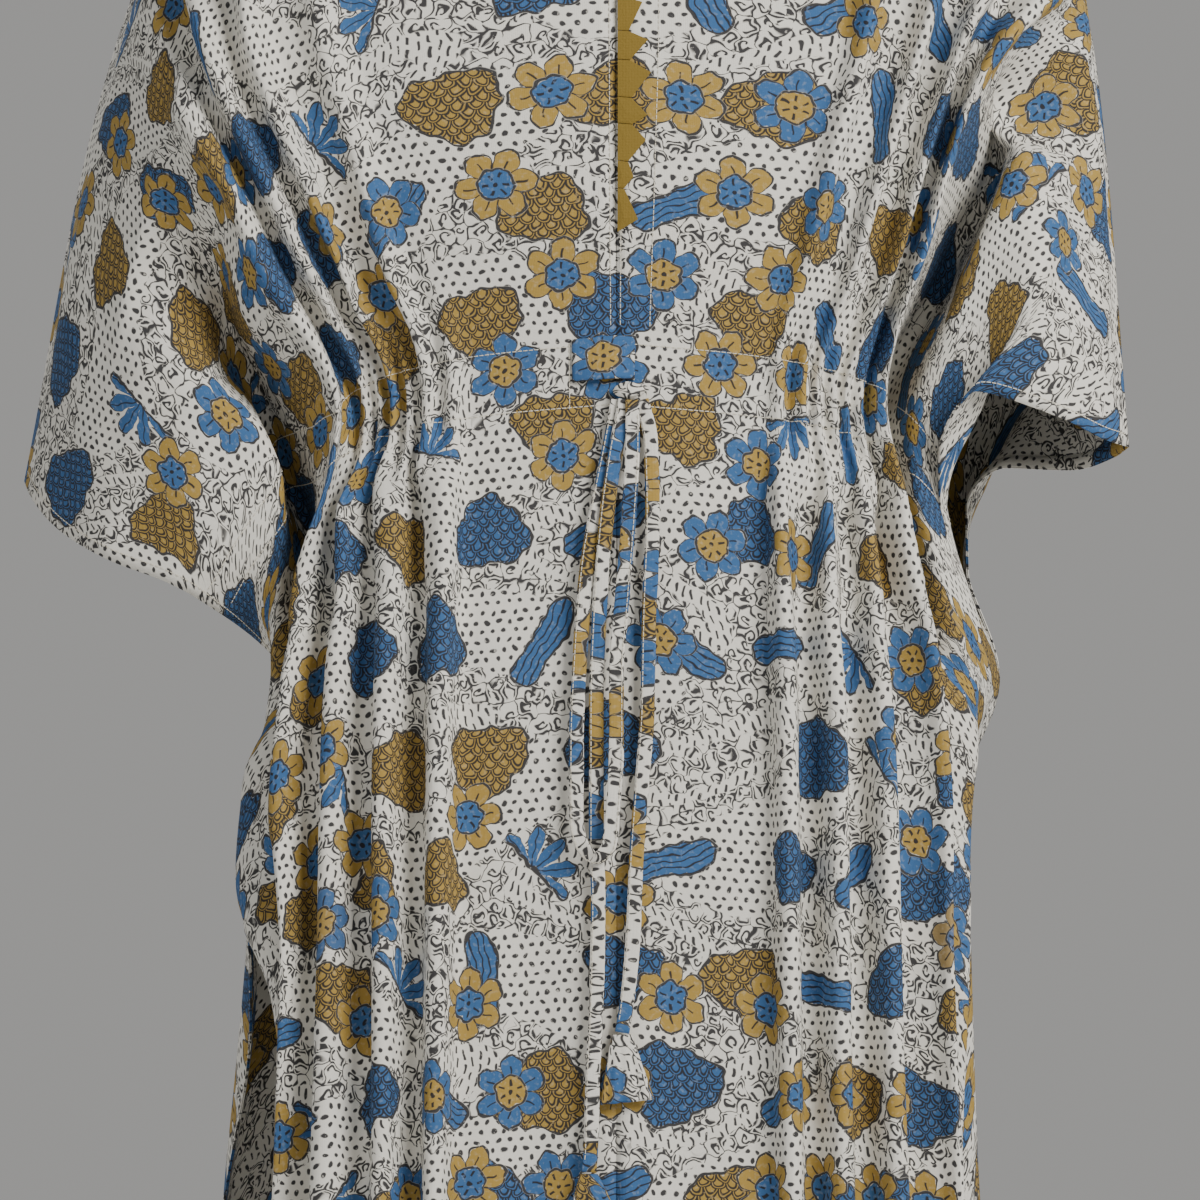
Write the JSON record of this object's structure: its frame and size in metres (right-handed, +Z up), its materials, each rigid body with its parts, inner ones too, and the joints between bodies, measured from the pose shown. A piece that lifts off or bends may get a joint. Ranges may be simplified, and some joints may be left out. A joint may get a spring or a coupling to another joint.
{
  "type": "kaftan",
  "caption": "Loose kaftan with wide open sleeves, a notched neck, a trimmed front slit, a gathered drawstring waist and side slits, held as worn.",
  "frame": {"origin": "midway between the neck ends of the two shoulder seams, where the wearer's shoulders hold the garment", "axes": "+Z is up, -Y is the front of the garment, and +X is the wearer's left, which is the right of the picture"},
  "size_m": [0.635, 0.3207, 1.2641],
  "materials": {
    "print_cloth": "block-printed plain-weave cotton, matte",
    "trim_cloth": "plain mustard cotton, matte",
    "tie_cloth": "block-printed cotton folded and stitched flat"
  },
  "bodies": {
    "root": {"front_panel": "print_cloth", "back_panel": "print_cloth", "casing_flap": "print_cloth", "tie_knot": "tie_cloth", "trim_point_1": "trim_cloth", "trim_point_2": "trim_cloth", "trim_point_3": "trim_cloth", "trim_point_4": "trim_cloth", "trim_point_5": "trim_cloth", "trim_point_6": "trim_cloth", "trim_point_7": "trim_cloth", "tie_loop": "tie_cloth", "tie_tail_left": "tie_cloth", "tie_tail_right": "tie_cloth", "tie_end_left": "tie_cloth", "tie_end_right": "tie_cloth"}
  },
  "joints": []
}
